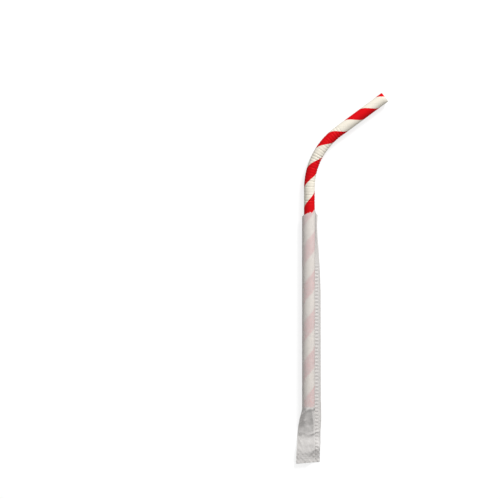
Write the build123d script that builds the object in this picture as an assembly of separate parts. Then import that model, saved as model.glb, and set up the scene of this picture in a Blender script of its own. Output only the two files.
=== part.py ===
"""Flexible paper drinking straw, half out of its torn paper wrapper.

The straw is a spiral-wound paper tube with a crimped flexing zone, bent to one side.
The wrapper is one strip of thin paper, folded round the straw and crimped shut along
one side and across the lower end. Its upper end is torn off.

Millimetres. +Z is up from the surface that both pieces lie on, +Y runs along the straw
from the wrapper's sealed end to the mouth, and the straw bends towards +X. While it is
built, X and Y are counted from the place where the bend starts, on the straw's axis.
The finished part is moved so that its origin is the middle of its box, at the bottom.
"""
from build123d import *
import math
import os

# Straw
STRAW_LENGTH = 197.0
STRAW_OD = 6.2
STRAW_WALL = 0.4
MOUTH_RUN = 33.5  # straight run from the end of the bend to the mouth
BEND_RADIUS = 40.5  # on the straw's axis
BEND_ANGLE = 53.5

# Crimps: rings pressed into the tube, so the wall keeps its thickness
CRIMP_COUNT = 31
CRIMP_PITCH = 1.6
CRIMP_DEPTH = 0.25
CRIMP_RADIUS = 0.5  # of the round bottom of each groove
CRIMP_PAST_BEND = 1.5  # from the end of the bend to the last ring, towards the mouth

# Wrapper
PAPER = 0.08
TEAR_TO_STRAW_END = 109.7  # along the straw, from the torn edge's lowest point
TAIL_LENGTH = 32.0  # from the straw's lower end to the sealed end
FLAT_WIDTH = 14.0  # across the flat tail, from the fold to the seam's outer edge
SLACK = 0.9  # the paper stands this much clear of the straw on its loose side
SEAM_WIDTH = 3.3
PEELED_WIDTH = 1.6  # of the seam at the torn edge, where it has come open and narrowed
PEELED_LENGTH = 30.0
END_SEAL = 6.8
END_SKEW = 4.3  # degrees between the cut end and a square cut
TAIL_GAP = 0.25  # left between the two layers of the flat tail
FLATTENING = 9.0  # most of the widening below the straw takes place in this length
TAIL_STATIONS = 8

# Fit
SEAT_GAP = 0.1  # between the straw and the paper round it

# Torn edge, from the loose side to the seam: distance from the straw's axis, and height
# above the lowest point
TEAR = [
    (-5.5, 0.3), (-4.1, 0.0), (-3.0, 0.9), (-2.3, 1.0), (-1.0, 1.9), (-0.2, 1.8), (0.5, 2.5),
    (1.4, 1.9), (2.1, 2.8), (2.7, 3.7), (3.3, 3.3), (4.0, 1.6), (4.7, 1.0), (6.5, 0.4),
]

straw_radius = STRAW_OD / 2
bore_radius = straw_radius - STRAW_WALL
bend_length = BEND_RADIUS * math.radians(BEND_ANGLE)
lower_run = STRAW_LENGTH - bend_length - MOUTH_RUN
sleeve_radius = straw_radius + SEAT_GAP + PAPER
straw_height = sleeve_radius
torn_y = TEAR_TO_STRAW_END - lower_run


def straw_axis():
    """The straw's axis: straight, a tangent arc to the right, and straight to the mouth."""
    lower = Line((0, -lower_run, straw_height), (0, 0, straw_height))
    bend = JernArc(lower @ 1, lower % 1, BEND_RADIUS, -BEND_ANGLE)
    mouth = Line(bend @ 1, bend @ 1 + MOUTH_RUN * (bend % 1))
    return lower, bend, mouth


def rod(radius):
    """A round rod along the straw's axis."""
    lower, bend, mouth = straw_axis()
    disc = Circle(radius)
    pivot = Axis((BEND_RADIUS, 0, straw_height), (0, 0, -1))
    lower_rod = extrude(Plane(lower @ 0, z_dir=lower % 0) * disc, lower_run)
    bend_rod = revolve(Plane(bend @ 0, z_dir=bend % 0) * disc, pivot, BEND_ANGLE)
    mouth_rod = extrude(Plane(mouth @ 0, z_dir=mouth % 0) * disc, MOUTH_RUN)
    return lower_rod + bend_rod + mouth_rod


def crimp_rings(minor_radius):
    """One ring round each crimp, square to the straw's axis there."""
    path = Wire(list(straw_axis()))
    last = lower_run + bend_length + CRIMP_PAST_BEND
    major_radius = straw_radius - CRIMP_DEPTH + CRIMP_RADIUS
    places = [last - i * CRIMP_PITCH for i in range(CRIMP_COUNT)]
    return [(path ^ (place / STRAW_LENGTH)) * Torus(major_radius, minor_radius) for place in places]


def paper_straw():
    outside = rod(straw_radius) - crimp_rings(CRIMP_RADIUS)
    bore = rod(bore_radius) - crimp_rings(CRIMP_RADIUS + STRAW_WALL)
    return outside - bore


def wrapper_section(y, left, seam, height, inset):
    """A slice across the wrapper at y: a loop round the straw, with the seam on its right.

    left: from the straw's axis to the loop's left side. seam: the width of the seam.
    An inset of the paper's thickness gives the hollow inside, which has no seam.
    """
    middle = height / 2
    rise = middle - inset
    right = sleeve_radius - inset
    left_half = EllipticalCenterArc((0, middle), left - inset, rise, 90, arc_size=180)
    right_top = EllipticalCenterArc((0, middle), right, rise, 0, arc_size=90)
    if inset:
        rest = Polyline((0, inset), (right, inset), (right, middle))
    else:
        edge = right + seam
        rest = Polyline((0, 0), (edge, 0), (edge, 2 * PAPER), (right, 2 * PAPER), (right, middle))
    face = make_face([left_half, right_top, rest])
    return Plane((0, y, 0), x_dir=(1, 0, 0), z_dir=(0, -1, 0)) * face


def wrapper_stations():
    """The wrapper's section where it changes, from the torn end down: y, left, seam, height."""
    sleeve_left = sleeve_radius + SLACK
    tail_left = FLAT_WIDTH - SEAM_WIDTH - sleeve_radius
    full = 2 * sleeve_radius
    flat = 2 * PAPER + TAIL_GAP
    torn_top = torn_y + max(rise for _, rise in TEAR)
    stations = [
        (torn_top + 1, sleeve_left, PEELED_WIDTH, full),
        (torn_y, sleeve_left, PEELED_WIDTH, full),
        (torn_y - PEELED_LENGTH, sleeve_left, SEAM_WIDTH, full),
    ]
    for i in range(TAIL_STATIONS + 1):
        share = i / TAIL_STATIONS
        spread = (1 - math.exp(-2 * share)) / (1 - math.exp(-2))
        fall = share * share * (3 - 2 * share)
        left = sleeve_left + (tail_left - sleeve_left) * spread
        height = full + (flat - full) * fall
        stations.append((-lower_run - 2 * FLATTENING * share, left, SEAM_WIDTH, height))
    stations.append((-lower_run - TAIL_LENGTH - 2, tail_left, SEAM_WIDTH, flat))
    return stations


def paper_wrapper():
    stations = wrapper_stations()
    shell = loft([wrapper_section(*station, 0) for station in stations], ruled=True)
    seal_y = -lower_run - TAIL_LENGTH + END_SEAL
    ends = stations[:-1] + [(seal_y, *stations[-1][1:])]
    hollow = loft([wrapper_section(*station, PAPER) for station in ends], ruled=True)
    return shell - hollow - torn_off() - cut_off()


def torn_off():
    """Everything above the torn edge."""
    teeth = [(x, torn_y + rise) for x, rise in TEAR]
    top = torn_y + 2 * FLAT_WIDTH
    outline = Polyline(*teeth, (FLAT_WIDTH, top), (-FLAT_WIDTH, top), teeth[0])
    return Pos(0, 0, -sleeve_radius) * extrude(make_face(outline), 4 * sleeve_radius)


def cut_off():
    """Everything below the skewed cut at the sealed end."""
    side = 2 * FLAT_WIDTH
    block = Box(side, side, side, align=(Align.CENTER, Align.MAX, Align.CENTER))
    return Pos(0, -lower_run - TAIL_LENGTH, 0) * Rot(0, 0, END_SKEW) * block


straw = paper_straw()
wrapper = paper_wrapper()
box = Compound([straw.solid(), wrapper.solid()]).bounding_box()
to_origin = Pos(-box.center().X, -box.center().Y, -box.min.Z)

os.makedirs("parts", exist_ok=True)
for name, piece in {"paper_straw": straw, "paper_wrapper": wrapper}.items():
    export_step(to_origin * piece, f"parts/{name}.step")

mouth = to_origin * straw_axis()[2]
print("box", box.size)
print("bend starts at", to_origin.position + Vector(0, 0, straw_height))
print("mouth at", mouth @ 1, "facing", mouth % 1)
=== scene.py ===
"""A flexible paper drinking straw, half out of its torn paper wrapper, lying on a white table.

Lengths are in metres. +Y runs along the wrapped straw towards its mouth and +Z is up.
"""
import math

import bmesh
import bpy
from mathutils import Matrix, Vector, noise


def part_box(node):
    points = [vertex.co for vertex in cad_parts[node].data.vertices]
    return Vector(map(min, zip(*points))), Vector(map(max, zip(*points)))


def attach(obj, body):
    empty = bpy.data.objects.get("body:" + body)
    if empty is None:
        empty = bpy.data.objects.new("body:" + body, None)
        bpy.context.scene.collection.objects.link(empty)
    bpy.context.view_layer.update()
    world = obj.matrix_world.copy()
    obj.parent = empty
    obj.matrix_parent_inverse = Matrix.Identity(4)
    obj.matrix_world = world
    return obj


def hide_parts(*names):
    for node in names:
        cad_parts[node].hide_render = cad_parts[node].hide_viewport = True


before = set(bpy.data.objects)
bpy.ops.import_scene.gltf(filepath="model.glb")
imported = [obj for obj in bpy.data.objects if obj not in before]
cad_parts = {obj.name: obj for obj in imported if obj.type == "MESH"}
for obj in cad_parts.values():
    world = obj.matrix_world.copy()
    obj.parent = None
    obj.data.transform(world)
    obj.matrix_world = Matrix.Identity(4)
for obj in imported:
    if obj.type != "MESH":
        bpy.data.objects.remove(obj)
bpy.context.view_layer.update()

# ---------------------------------------------------------------------------------------
# The straw: three plies of paper wound in a spiral and glued into one tube, the outer one
# printed with a red stripe. Rings pressed into the tube let it bend, and they are open on
# the outside of the bend and closed on the inside.
# ---------------------------------------------------------------------------------------
MM = 0.001
STRAW_RADIUS = 3.1 * MM
STRAW_WALL = 0.4 * MM
MOUTH_RUN = 33.5 * MM
BEND_RADIUS = 40.5 * MM
BEND_LENGTH = BEND_RADIUS * math.radians(53.5)
STRAW_LENGTH = 197 * MM
LOWER_RUN = STRAW_LENGTH - BEND_LENGTH - MOUTH_RUN

CRIMPS = 31
CRIMP_PITCH = 1.6 * MM
CRIMP_DEPTH = 0.15 * MM
CRIMP_SHARPNESS = 4
CRIMP_CLOSING = 0.5  # of its depth, gained inside the bend and lost outside it
LAST_CRIMP = LOWER_RUN + BEND_LENGTH + 1.5 * MM
LUMPS = 0.018 * MM
RIM_ROUNDING = 0.06 * MM

ROUND_STEPS = 96
CRIMP_STEPS = 8
LOWER_STEPS = 40
UPPER_STEPS = 16

STRIPE_PITCH = 22.2 * MM
STRIPE_START = 8.5 * MM  # where the stripe's edge crosses the top of the straw
INK_EDGE = 0.002  # half the soft edge of the print, as a share of the pitch
PLY_SEAM = 0.19  # of the pitch, past the stripe's edge
PLY_SEAM_HALF_WIDTH = 0.0045

STRAW_CREAM = (0.84, 0.79, 0.68, 1)
STRAW_RED = (0.68, 0.002, 0.006, 1)
DARK_RED = (0.55, 0.001, 0.004, 1)
PLY_SEAM_BROWN = (0.55, 0.49, 0.40, 1)
CORE_CREAM = (0.80, 0.74, 0.62, 1)

straw_low, straw_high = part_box("paper_straw")
axis_x = straw_low.x + STRAW_RADIUS
axis_z = (straw_low.z + straw_high.z) / 2
straw_end_y = straw_low.y


def straw_place(along):
    """The matrix that sets a ring square to the straw's axis, so far from its lower end."""
    bend_start = Vector((axis_x, straw_end_y + LOWER_RUN, axis_z))
    pivot = bend_start + Vector((BEND_RADIUS, 0, 0))
    bent = min(max(along - LOWER_RUN, 0), BEND_LENGTH)
    turn = Matrix.Rotation(-bent / BEND_RADIUS, 4, "Z")
    straight = Vector((-BEND_RADIUS, along - LOWER_RUN - bent, 0))
    return Matrix.Translation(pivot) @ turn @ Matrix.Translation(straight)


def groove_at(along):
    """How deep into a crimp's groove a place is, from 0 to 1, and how hard it was pressed."""
    steps = (LAST_CRIMP - along) / CRIMP_PITCH
    nearest = round(steps)
    if not 0 <= nearest < CRIMPS:
        return 0, 0
    groove = (0.5 + 0.5 * math.cos(math.tau * (steps - nearest))) ** CRIMP_SHARPNESS
    return groove, max(1 + 1.5 * noise.noise(Vector((nearest * 1.7, 3.1, 0.4))), 0.15)


def straw_radius_at(along, turn, inset):
    """The radius of the tube. turn is 0 on the inside of the bend and then goes over the top."""
    groove, pressed = groove_at(along)
    bent = min(max((along - LOWER_RUN) / (4 * MM), 0), 1)
    closed = 1 + CRIMP_CLOSING * bent * math.cos(turn)
    lumps = noise.noise(Vector((math.cos(turn), math.sin(turn), along / (6 * MM))))
    return STRAW_RADIUS - inset - CRIMP_DEPTH * groove * pressed * closed + LUMPS * lumps


def straw_rings():
    """Each ring's place along the tube and its depth in the wall: up outside, back inside."""
    first = LAST_CRIMP - (CRIMPS - 0.5) * CRIMP_PITCH
    last = LAST_CRIMP + 0.5 * CRIMP_PITCH
    steps = CRIMPS * CRIMP_STEPS
    edge = RIM_ROUNDING
    lower = [edge + (first - edge) * i / LOWER_STEPS for i in range(LOWER_STEPS)]
    crimped = [first + (last - first) * i / steps for i in range(steps)]
    upper = [last + (STRAW_LENGTH - edge - last) * i / UPPER_STEPS for i in range(UPPER_STEPS + 1)]
    places = lower + crimped + upper
    outside = [(0, edge)] + [(along, 0) for along in places] + [(STRAW_LENGTH, edge)]
    inside = [(along, STRAW_WALL) for along in reversed(places[::2])]
    top_edge = (STRAW_LENGTH, STRAW_WALL - edge)
    return outside + [top_edge] + inside + [(0, STRAW_WALL - edge)]


def shape_straw():
    """The tube, drawn out ring by ring from a circle and closed at its lower end."""
    bm = bmesh.new()
    turn_of = bm.verts.layers.float.new("turn")
    along_of = bm.verts.layers.float.new("along")
    inset_of = bm.verts.layers.float.new("inset")
    ring = bmesh.ops.create_circle(bm, segments=ROUND_STEPS, radius=STRAW_RADIUS)["verts"]
    for v in ring:
        v[turn_of] = math.atan2(v.co.y, v.co.x) % math.tau
    edges = bm.edges[:]
    first_edges = edges
    for count, (along, inset) in enumerate(straw_rings()):
        if count:
            made = bmesh.ops.extrude_edge_only(bm, edges=edges)["geom"]
            ring = [part for part in made if isinstance(part, bmesh.types.BMVert)]
            new = set(ring)
            edges = [part for part in made
                     if isinstance(part, bmesh.types.BMEdge) and new.issuperset(part.verts)]
        place = straw_place(along)
        for v in ring:
            turn = v[turn_of]
            radius = straw_radius_at(along, turn, inset)
            v.co = place @ Vector((radius * math.cos(turn), 0, radius * math.sin(turn)))
            v[along_of] = along
            v[inset_of] = inset
    bmesh.ops.bridge_loops(bm, edges=first_edges + edges)
    bmesh.ops.recalc_face_normals(bm, faces=bm.faces)

    wound = bm.loops.layers.uv.new("wound")
    for face in bm.faces:
        face.smooth = True
        across = [loop.vert[turn_of] for loop in face.loops]
        crosses_start = max(across) - min(across) > math.pi
        for loop, turn in zip(face.loops, across):
            whole_turn = math.tau if crosses_start and turn < math.pi else 0
            loop[wound].uv = ((turn + whole_turn) / math.tau, loop.vert[along_of] / STRIPE_PITCH)
        if max(loop.vert[inset_of] for loop in face.loops) > 0:
            face.material_index = 1
    return bm


def add_node(tree, kind, **settings):
    """A new shader node with these settings."""
    made = tree.nodes.new(kind)
    for name, value in settings.items():
        setattr(made, name, value)
    return made


def calculate(tree, operation, first, second=0.0, third=0.0):
    """One step of arithmetic on sockets or plain numbers."""
    made = add_node(tree, "ShaderNodeMath", operation=operation)
    for socket, value in zip(made.inputs, (first, second, third)):
        if isinstance(value, bpy.types.NodeSocket):
            tree.links.new(value, socket)
        else:
            socket.default_value = value
    return made.outputs[0]


def mix_colours(tree, amount, first, second):
    """The first colour where amount is 0 and the second where it is 1."""
    made = add_node(tree, "ShaderNodeMix", data_type="RGBA")
    for socket, value in zip((made.inputs[0], made.inputs[6], made.inputs[7]),
                             (amount, first, second)):
        if isinstance(value, bpy.types.NodeSocket):
            tree.links.new(value, socket)
        else:
            socket.default_value = value
    return made.outputs[2]


def spotted(tree, coordinates, scale, detail=3.0, roughness=0.5, stretch=None):
    """Noise at so many lumps a metre, from 0 to 1."""
    if stretch:
        mapping = add_node(tree, "ShaderNodeMapping")
        mapping.inputs["Scale"].default_value = stretch
        tree.links.new(coordinates, mapping.inputs["Vector"])
        coordinates = mapping.outputs[0]
    made = add_node(tree, "ShaderNodeTexNoise")
    made.inputs["Scale"].default_value = scale
    made.inputs["Detail"].default_value = detail
    made.inputs["Roughness"].default_value = roughness
    tree.links.new(coordinates, made.inputs["Vector"])
    return made.outputs["Fac"]


def make_fibre_group():
    """Paper close up: short matted fibres in a few directions over soft clouds of thickness."""
    group = bpy.data.node_groups.new("Paper fibre", "ShaderNodeTree")
    sockets = group.interface
    sockets.new_socket("Coordinates", in_out="INPUT", socket_type="NodeSocketVector")
    sockets.new_socket("Color", in_out="INPUT", socket_type="NodeSocketColor")
    sockets.new_socket("Mottle", in_out="INPUT", socket_type="NodeSocketFloat")
    sockets.new_socket("Color", in_out="OUTPUT", socket_type="NodeSocketColor")
    sockets.new_socket("Height", in_out="OUTPUT", socket_type="NodeSocketFloat")
    given = add_node(group, "NodeGroupInput")
    result = add_node(group, "NodeGroupOutput")
    where = given.outputs["Coordinates"]
    clouds = spotted(group, where, 420, detail=2)
    lengthwise = spotted(group, where, 2600, detail=2, stretch=(1, 0.3, 1))
    crosswise = spotted(group, where, 2600, detail=2, stretch=(0.3, 1, 1))
    fibres = calculate(group, "MAXIMUM", lengthwise, crosswise)
    height = calculate(group, "MULTIPLY_ADD", clouds, 0.6, fibres)
    shade = calculate(group, "SUBTRACT", height, 0.86)
    shade = calculate(group, "MULTIPLY", shade, given.outputs["Mottle"])
    shade = calculate(group, "ADD", shade, 1.0)
    tint = add_node(group, "ShaderNodeVectorMath", operation="SCALE")
    group.links.new(given.outputs["Color"], tint.inputs[0])
    group.links.new(shade, tint.inputs["Scale"])
    group.links.new(tint.outputs[0], result.inputs["Color"])
    group.links.new(height, result.inputs["Height"])
    return group


fibre_group = make_fibre_group()


def fibre(tree, coordinates, colour, mottle):
    """The paper fibre group, placed in a material with its own colour and mottling."""
    made = add_node(tree, "ShaderNodeGroup", node_tree=fibre_group)
    tree.links.new(coordinates, made.inputs["Coordinates"])
    if isinstance(colour, bpy.types.NodeSocket):
        tree.links.new(colour, made.inputs["Color"])
    else:
        made.inputs["Color"].default_value = colour
    made.inputs["Mottle"].default_value = mottle
    return made


def raise_bump(tree, height, distance, shader):
    """Relief of so many metres on the shader's surface."""
    bump = add_node(tree, "ShaderNodeBump")
    bump.inputs["Distance"].default_value = distance
    tree.links.new(height, bump.inputs["Height"])
    tree.links.new(bump.outputs[0], shader.inputs["Normal"])


def new_material(name):
    """A material with its node tree and its Principled shader."""
    material = bpy.data.materials.new(name)
    material.use_nodes = True
    tree = material.node_tree
    return material, tree, tree.nodes["Principled BSDF"]


def printed_paper():
    """Cream paper with a red stripe printed on it, a little glossy where the ink lies."""
    material, tree, shader = new_material("Printed straw paper")
    wound = add_node(tree, "ShaderNodeUVMap", uv_map="wound")
    where = add_node(tree, "ShaderNodeTexCoord").outputs["Object"]
    parts = add_node(tree, "ShaderNodeSeparateXYZ")
    tree.links.new(wound.outputs[0], parts.inputs[0])
    winding = calculate(tree, "ADD", parts.outputs[0], parts.outputs[1])
    winding = calculate(tree, "ADD", winding, 2 - 0.25 - STRIPE_START / STRIPE_PITCH)
    ragged = spotted(tree, where, 1500, detail=3)
    ragged = calculate(tree, "MULTIPLY_ADD", ragged, 0.010, -0.005)
    winding = calculate(tree, "FRACT", calculate(tree, "ADD", winding, ragged))

    from_middle = calculate(tree, "ABSOLUTE", calculate(tree, "SUBTRACT", winding, 0.75))
    ink = add_node(tree, "ShaderNodeMapRange")
    ink.inputs["From Min"].default_value = 0.25 + INK_EDGE
    ink.inputs["From Max"].default_value = 0.25 - INK_EDGE
    tree.links.new(from_middle, ink.inputs["Value"])
    ink = ink.outputs[0]

    seam = calculate(tree, "ABSOLUTE", calculate(tree, "SUBTRACT", winding, PLY_SEAM))
    seam = calculate(tree, "LESS_THAN", seam, PLY_SEAM_HALF_WIDTH)
    worn = spotted(tree, where, 900, detail=4, roughness=0.7)
    worn = calculate(tree, "MULTIPLY_ADD", worn, 0.5, 0.72)
    red = mix_colours(tree, worn, DARK_RED, STRAW_RED)
    seam_shade = calculate(tree, "MULTIPLY", seam, 0.35)
    cream = mix_colours(tree, seam_shade, STRAW_CREAM, PLY_SEAM_BROWN)
    colour = mix_colours(tree, ink, cream, red)
    paper = fibre(tree, where, colour, 0.16)
    tree.links.new(paper.outputs["Color"], shader.inputs["Base Color"])
    roughness = calculate(tree, "MULTIPLY_ADD", ink, -0.12, 0.62)
    tree.links.new(roughness, shader.inputs["Roughness"])
    shader.inputs["Specular IOR Level"].default_value = 0.10
    height = calculate(tree, "MULTIPLY_ADD", seam, -1.5, paper.outputs["Height"])
    raise_bump(tree, height, 0.012 * MM, shader)
    return material


def bare_paper():
    """The uncoated cream paper of the inner plies, seen at the cut ends and in the bore."""
    material, tree, shader = new_material("Bare straw paper")
    where = add_node(tree, "ShaderNodeTexCoord").outputs["Object"]
    paper = fibre(tree, where, CORE_CREAM, 0.3)
    tree.links.new(paper.outputs["Color"], shader.inputs["Base Color"])
    shader.inputs["Roughness"].default_value = 0.85
    raise_bump(tree, paper.outputs["Height"], 0.02 * MM, shader)
    return material


def add_piece(name, bm, materials):
    """An object at the origin with this shape. Faces take the materials by their number."""
    mesh = bpy.data.meshes.new(name)
    bm.to_mesh(mesh)
    bm.free()
    for material in materials:
        mesh.materials.append(material)
    piece = bpy.data.objects.new(name, mesh)
    bpy.context.collection.objects.link(piece)
    return piece


straw = add_piece("striped_paper_straw", shape_straw(), [printed_paper(), bare_paper()])
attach(straw, "root")
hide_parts("paper_straw")

# ---------------------------------------------------------------------------------------
# The wrapper: one strip of thin white paper folded round the straw, knurled shut along its
# right side and across its lower end. The upper end is torn off and the seam there has come
# open. It clings to the straw, and past the straw's end it falls flat.
# ---------------------------------------------------------------------------------------
# Sizes here are in millimetres. x is counted from the straw's axis, and down is counted
# from the straw's lower end towards the sealed end.
PAPER = 0.06
UNDERSIDE = 0.05  # the lower layer's height off the table
LAYERED = 0.13  # from the lower layer to the upper one where they are pressed together
LOWEST = 0.035
SLEEVE_HEIGHT = 6.5
SEAM_ROOT = 3.28
ROOT_FLARE = 0.14
TAIL_END = 32.0
TAIL_SKEW = math.tan(math.radians(4.3))
SKEW_START = 25.0
TEAR_PLACE = -109.7
TEAR_REACH = -95.0  # the rows from here up are shifted to follow the torn edge
SHEET_ROWS = 400
SHEET_COLUMNS = 92

# Shares of the strip's width, counted from the seam's edge on the lower layer
UNDER_STRAW = 0.22
LEFT_FOLDED = 0.40
OVER_TOP = 0.60
RIGHT_SIDE = 0.76
SEAM_FOOT = 0.82

# Torn edge: x, and height above its lowest point
TEAR_TEETH = [
    (-5.5, 0.1), (-4.1, 0.0), (-3.05, 0.86), (-2.3, 1.04), (-0.98, 1.9), (-0.23, 2.0), (0.52, 2.5),
    (1.38, 1.9), (2.13, 2.76), (2.7, 3.8), (3.28, 3.5), (4.0, 1.6), (4.7, 1.0), (6.0, 0.6),
]
# The two long edges of the folded strip: down, and x
LEFT_FOLD = [
    (-120, -4.15), (-2, -4.1), (1.1, -4.15), (4.4, -4.95), (6.9, -5.6), (10.8, -6.3), (16.6, -6.9),
    (20.7, -7.0), (26.2, -7.35), (31.7, -7.6), (34, -7.65),
]
SEAM_EDGE = [
    (-114, 4.7), (-109, 4.75), (-105, 4.45), (-96, 4.9), (-91, 5.35), (-82, 5.9), (-67, 6.5),
    (-4, 6.6), (-2, 6.75), (6.9, 6.85), (12.4, 6.6), (14.3, 6.4), (20.7, 6.4), (23.4, 6.1), (34, 6.0),
]

# Side seam and end seal
KNURL_PITCH = 2.03
KNURL_HEIGHT = 0.272
KNURL_SIDES = (3.25, 3.55, 4.95, 5.2)  # where it starts, is full, starts to fade and ends
CURLED_EDGE = 0.22
SEAM_LIFT = 0.9  # of the peeled seam's upper layer
SEAL_START = 23.0
SEAL_DOTS = (2.5, 1.4)
SEAL_HEIGHT = 0.20

# The slope from the straw's end to the table
RAMP_TOP = 0.5
RAMP_END = 16.2
RAMP_SAG = 0.5
CREASE_ROUNDING = 0.5

# Creases: where they start and end as (x, down), half width and height
TAIL_CREASES = [
    ((-5.4, 5.4), (-0.4, 0.4), 1.3, 0.9),
    ((-4.2, 7.3), (-2.4, 7.9), 0.5, 0.35),
    ((-6.0, 13.6), (-1.0, 16.2), 2.2, 0.22),
    ((-1.5, 16.6), (6.6, 13.4), 1.7, 0.55),
    ((-6.2, 18.0), (-3.4, 23.5), 0.9, 0.22),
    ((-2.0, 24.0), (1.6, 19.0), 0.8, 0.20),
    ((0.2, 27.5), (2.6, 23.6), 1.2, 0.42),
]
# Dents and swellings: middle as (x, down), reach each way, turn in radians and height
TAIL_SWELLINGS = [
    ((0.2, 10), (1.3, 2.4), 0.3, -0.55),
    ((-1.0, 20.5), (2.4, 2.2), 0.4, 0.30),
    ((3.0, 25.2), (2.6, 1.3), -0.2, 0.30),
]
TAIL_RIDGE = 1.75
RIDGE_FOOT = 16.6
RIDGE_END = 30.5
CRINKLE_SIZE = 4.2
CRINKLE_HEIGHT = 0.60

# Painted shade: the wrapper's paper is painted greyer where it lies off the straw than where it
# clings to it
PAINTED_SHADE_WRAPPER_WHITE = (0.81, 0.785, 0.765, 1)
CLINGING_WHITE = (0.92, 0.88, 0.855, 1)


def read_off(points, place):
    """The value at a place, on straight lines between the points."""
    for (start, low), (end, high) in zip(points, points[1:]):
        if place <= end:
            share = min(max((place - start) / (end - start), 0), 1)
            return low + (high - low) * share
    return points[-1][1]


def ease(low, high, value):
    """0 up to low and 1 from high, with a smooth rise between them."""
    share = min(max((value - low) / (high - low), 0), 1)
    return share * share * (3 - 2 * share)


def lower_of(first, second):
    """The lower of two heights, with the crease between them rounded a little."""
    gap = max(CREASE_ROUNDING - abs(first - second), 0) / CREASE_ROUNDING
    return min(first, second) - gap * gap * CREASE_ROUNDING / 4


def rough(x, y, z):
    """Smooth noise, about -0.5 to 0.5."""
    return noise.noise(Vector((x, y, z)))


def swelling(x, down, middle, size, turn):
    """A soft lump, 1 at its middle."""
    across, along = x - middle[0], down - middle[1]
    first = (across * math.cos(turn) + along * math.sin(turn)) / size[0]
    second = (along * math.cos(turn) - across * math.sin(turn)) / size[1]
    return math.exp(-first * first - second * second)


def crease(x, down, start, end, width):
    """A sharp little ridge, 1 along its middle, that fades out at both ends."""
    start = Vector(start)
    run = Vector(end) - start
    place = Vector((x, down)) - start
    share = place.dot(run) / run.length_squared
    away = (place - run * min(max(share, 0), 1)).length / width
    fading = ease(-0.25, 0.3, share) * (1 - ease(0.7, 1.25, share))
    return max(1 - away, 0) ** 1.5 * fading


def crinkle(x, down, size, seed):
    """Sharp-edged crinkles of about this size, from 0 to 1."""
    value = 0
    for octave in range(3):
        grain = size / 1.9 ** octave
        fold = 0.5 - abs(rough(x / grain, down / grain, seed + octave))
        value += fold * 0.6 ** octave
    return value * 0.6


def fold_rise(down):
    """How far the left fold stands off the table below the straw's end."""
    return 0.12 + 3.0 * (1 - ease(2.5, 14.0, down))


def tail_top(x, down):
    """The height of the upper layer where it falls from the straw's end to the table.

    Three slopes meet there in creases: the ramp, and one to each side of it.
    """
    top = RAMP_TOP + 0.95 * max(-0.6 - x, 0)
    share = min(max((down - top) / (RAMP_END - top), 0), 1)
    ramp = 0.35 + (SLEEVE_HEIGHT - 0.45) * (1 - share) - RAMP_SAG * math.sin(math.pi * share)
    ramp += 0.12 * max(x - 1, 0) * (1 - share)
    left_slope = 1.3 - 0.9 * ease(0.5, 12, down)
    left = fold_rise(down) + (x - read_off(LEFT_FOLD, down)) * left_slope
    right_slope = 4.4 - 1.4 * ease(0, 2.5, down) - 1.8 * ease(7, 14, down)
    right = 0.2 + max(SEAM_ROOT + 0.1 - x, 0) * right_slope
    return lower_of(lower_of(ramp, left), right)


def tail_folds(x, down):
    """Creases, dents and the broad ridge above the end seal, in millimetres up."""
    lift = sum(height * crease(x, down, start, end, width)
               for start, end, width, height in TAIL_CREASES)
    lift += sum(height * swelling(x, down, middle, size, turn)
                for middle, size, turn, height in TAIL_SWELLINGS)
    ridge = 26.5 - 3.6 * ease(0.0, 3.2, x) + 0.8 * ease(4.0, 6.4, x)
    falls = ease(ridge - 0.6, RIDGE_END, down) * (0.25 + 0.8 * ease(-1, 2.0, x))
    return lift + TAIL_RIDGE * ease(RIDGE_FOOT, ridge, down) * (1 - falls)


def section_point(share, down):
    """A point of the strip's section, before it is knurled and creased.

    share is 0 at the seam's edge on the lower layer and 1 at its edge on the upper layer.
    Gives x, height, the layer, 0 or 1, and how closely the paper there lies on the straw.
    """
    fold = read_off(LEFT_FOLD, down)
    edge = read_off(SEAM_EDGE, down)
    middle = SLEEVE_HEIGHT / 2
    pressed = UNDERSIDE + LAYERED
    if share < UNDER_STRAW:
        return edge - edge * share / UNDER_STRAW, UNDERSIDE, 0, 0
    if share < LEFT_FOLDED:
        along = (share - UNDER_STRAW) / (LEFT_FOLDED - UNDER_STRAW)
        angle = along * math.pi / 2
        sleeve = middle - (middle - UNDERSIDE) * math.cos(angle)
        flat = UNDERSIDE + (0.06 + 0.6 * fold_rise(down)) * ease(0.5, 1, along)
        height = sleeve + (flat - sleeve) * ease(0.2, 5.5, down)
        return fold * math.sin(angle), height, 0, 0
    if share < OVER_TOP:
        along = (share - LEFT_FOLDED) / (OVER_TOP - LEFT_FOLDED)
        x = fold * math.cos(along * math.pi / 2)
        sleeve = middle + middle * math.sin(along * math.pi / 2)
        touch = ease(-0.25, 0.2, along)
    elif share < RIGHT_SIDE:
        along = (share - OVER_TOP) / (RIGHT_SIDE - OVER_TOP)
        x = SEAM_ROOT * math.sin(along * math.pi / 2)
        sleeve = middle + middle * math.cos(along * math.pi / 2)
        touch = 1 - 0.5 * ease(0.7, 1, along)
    elif share < SEAM_FOOT:
        along = (share - RIGHT_SIDE) / (SEAM_FOOT - RIGHT_SIDE)
        x = SEAM_ROOT + ROOT_FLARE * along * along
        sleeve = middle + (pressed - middle) * along
        touch = 0.5 * (1 - along)
    else:
        along = (share - SEAM_FOOT) / (1 - SEAM_FOOT)
        root = SEAM_ROOT + ROOT_FLARE
        return root + (edge - root) * along, pressed, 1, 0
    tail = max(tail_top(x, down), pressed)
    height = sleeve + (tail - sleeve) * ease(0.15, 2.2, down)
    return x, height, 1, touch * (1 - ease(-0.2, 0.4, down))


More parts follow.
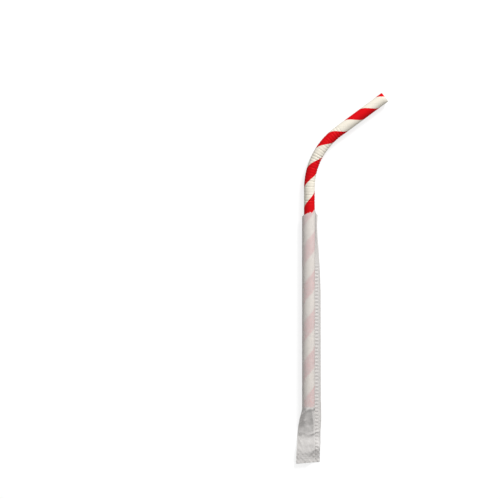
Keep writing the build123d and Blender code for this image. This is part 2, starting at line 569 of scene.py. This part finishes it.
def sheet_lift(x, down, layer):
    """Knurling, seal, folds and crinkles, in millimetres up."""
    sealed = ease(-85, -79, down) * (1 - ease(24.0, 25.0, down))
    start, full, fading, end = KNURL_SIDES
    in_seam = ease(start, full, x) * (1 - ease(fading, end, x))
    wave = math.cos(math.tau * down / KNURL_PITCH + 0.6 * rough(0, down / 7, 4))
    lift = KNURL_HEIGHT * sealed * in_seam * (0.5 + 0.5 * math.tanh(2.2 * wave))
    lift += CURLED_EDGE * sealed * ease(-0.45, -0.05, x - read_off(SEAM_EDGE, down))
    across, along = SEAL_DOTS
    dots = math.cos(math.pi * down / along) * math.cos(math.tau * x / across)
    lift += SEAL_HEIGHT * ease(SEAL_START, SEAL_START + 1.2, down + 0.25 * x) * max(dots, -0.25)
    if not layer:
        return max(lift, 0)
    lift += tail_folds(x, down)
    lift += CRINKLE_HEIGHT * ease(1.0, 9.0, down) * crinkle(x, down, CRINKLE_SIZE, 2.0)
    return lift + 0.10 * ease(3.3, 3.8, x) * crinkle(x * 1.5, down, 3.0, 6.0)


def row_place(x, layer, level):
    """Where a row of the grid runs at x, so that the end rows follow the tear and the cut."""
    torn = read_off(TEAR_TEETH, x) + 0.28 * rough(x * 2.6, layer * 5.0, 1.7)
    torn += 0.20 * rough(x * 6.0, layer * 5.0, 8.1)
    near_tear = max((TEAR_REACH - level) / (TEAR_REACH - TEAR_PLACE), 0)
    near_cut = max((level - SKEW_START) / (TAIL_END - SKEW_START), 0)
    return level - torn * near_tear - x * TAIL_SKEW * near_cut


def shape_wrapper():
    """The strip, mapped from a flat grid: its columns go round the section and its rows up y."""
    bm = bmesh.new()
    touch_of = bm.verts.layers.float.new("touch")
    bmesh.ops.create_grid(bm, x_segments=SHEET_COLUMNS, y_segments=SHEET_ROWS, size=0.5)
    for v in bm.verts:
        share, rise = v.co.x + 0.5, v.co.y + 0.5
        level = TAIL_END + (TEAR_PLACE - TAIL_END) * rise
        x, _, layer, _ = section_point(share, level)
        down = row_place(x, layer, level)
        x, z, layer, touch = section_point(share, down)
        lift = sheet_lift(x, down, layer)
        if layer and down < 1 and x < SEAM_ROOT:
            outwards = Vector((x, z - SLEEVE_HEIGHT / 2)).normalized()
            slack = 0.035 * rough(x / 3, down / 5, 9.0)
            rumple = max(crinkle(x * 1.2 + z, down, 5.0, 12.0) - 0.12, 0)
            rumple *= 0.10 * (1 - ease(-1, 1, down))
            x += outwards.x * (rumple + slack)
            z += max(outwards.y * rumple, 0)
        if layer and x > SEAM_ROOT - 0.3:
            peeled = 1 - ease(-104, -84, down)
            z += peeled * (SEAM_LIFT + 0.5 * rough(x, down / 6, 3)) * ease(3.0, 4.6, x)
        z = max(z + lift, LOWEST)
        v.co = Vector((axis_x + x * MM, straw_end_y - down * MM, z * MM))
        v[touch_of] = touch
    for face in bm.faces:
        face.smooth = True
    bmesh.ops.reverse_faces(bm, faces=bm.faces)
    return bm


def wrapper_paper():
    """Thin, faintly glossy white paper. The stripes show where it lies against the straw, and its
    colour is painted greyer, as painted shade, where it lies off the straw.
    """
    material, tree, shader = new_material("Wrapper paper")
    where = add_node(tree, "ShaderNodeTexCoord").outputs["Object"]
    touch = add_node(tree, "ShaderNodeAttribute", attribute_name="touch").outputs["Fac"]
    # Painted shade: the paper's colour turns greyer where it lies off the straw
    shade = mix_colours(tree, touch, PAINTED_SHADE_WRAPPER_WHITE, CLINGING_WHITE)
    paper = fibre(tree, where, shade, 0.10)
    tree.links.new(paper.outputs["Color"], shader.inputs["Base Color"])
    clouds = spotted(tree, where, 260, detail=3)
    cover = calculate(tree, "MULTIPLY_ADD", touch, -0.26, 0.67)
    cover = calculate(tree, "MULTIPLY_ADD", clouds, 0.10, cover)
    tree.links.new(cover, shader.inputs["Alpha"])
    shader.inputs["Roughness"].default_value = 0.55
    shader.inputs["Specular IOR Level"].default_value = 0.35
    folds = spotted(tree, where, 700, detail=4, roughness=0.65)
    height = calculate(tree, "MULTIPLY_ADD", folds, 2.5, paper.outputs["Height"])
    raise_bump(tree, height, 0.03 * MM, shader)
    return material


wrapper = add_piece("torn_paper_wrapper", shape_wrapper(), [wrapper_paper()])
thickness = wrapper.modifiers.new("paper thickness", "SOLIDIFY")
thickness.thickness = PAPER * MM
thickness.offset = 0
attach(wrapper, "root")
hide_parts("paper_wrapper")

# ---------------------------------------------------------------------------------------
# The table: a plain sheet under the straw. It reads as white to the camera, and it still
# takes the straw's shadow.
# ---------------------------------------------------------------------------------------
FLOOR_SIZE = 6.0
FLOOR_GREY = (0.32, 0.32, 0.32, 1)
FLOOR_GLOW = 0.76


def white_floor():
    """A pale matt surface with enough light of its own, for the camera only, to be white."""
    material, tree, shader = new_material("White table")
    shader.inputs["Base Color"].default_value = FLOOR_GREY
    shader.inputs["Roughness"].default_value = 0.9
    shader.inputs["Specular IOR Level"].default_value = 0.1
    shader.inputs["Emission Color"].default_value = (1, 1, 1, 1)
    ray = add_node(tree, "ShaderNodeLightPath")
    seen = calculate(tree, "MULTIPLY", ray.outputs["Is Camera Ray"], FLOOR_GLOW)
    tree.links.new(seen, shader.inputs["Emission Strength"])
    return material


floor_shape = bmesh.new()
bmesh.ops.create_grid(floor_shape, x_segments=2, y_segments=2, size=FLOOR_SIZE / 2)
floor = add_piece("table", floor_shape, [white_floor()])

# ---------------------------------------------------------------------------------------
# The light: one soft lamp low down beyond the straw's mouth, which brings out the creases,
# and an even pale room all round.
# ---------------------------------------------------------------------------------------
ROOM_STRENGTH = 0.48
KEY_PLACE = (0.42, 0.85, 0.62)
KEY_SIZE = 0.35
KEY_POWER = 11.5

room = bpy.data.worlds.new("Pale room")
bpy.context.scene.world = room
room.use_nodes = True
background = room.node_tree.nodes["Background"]
background.inputs["Color"].default_value = (1, 1, 1, 1)
background.inputs["Strength"].default_value = ROOM_STRENGTH

key = bpy.data.lights.new("key_lamp", "AREA")
key.shape = "DISK"
key.size = KEY_SIZE
key.energy = KEY_POWER
key_lamp = bpy.data.objects.new("key_lamp", key)
bpy.context.collection.objects.link(key_lamp)
key_lamp.location = KEY_PLACE
key_lamp.rotation_euler = (-Vector(KEY_PLACE)).to_track_quat("-Z", "Y").to_euler()

# ---------------------------------------------------------------------------------------
# The camera: a long lens straight above the table, aimed so that the straw lies right of
# the middle.
# ---------------------------------------------------------------------------------------
CAMERA_AIM = Vector((-0.0530, 0.0166, 0))
VIEW_WIDTH = 0.2879
LENS = 200
SENSOR = 36

camera_data = bpy.data.cameras.new("camera")
camera_data.lens = LENS
camera_data.sensor_width = SENSOR
camera_data.sensor_fit = "HORIZONTAL"
camera_data.clip_start = 0.1
camera_data.clip_end = 20
camera = bpy.data.objects.new("camera", camera_data)
camera.location = CAMERA_AIM + Vector((0, 0, VIEW_WIDTH * LENS / SENSOR))
bpy.context.collection.objects.link(camera)
bpy.context.scene.camera = camera
bpy.context.scene.view_settings.view_transform = "Standard"
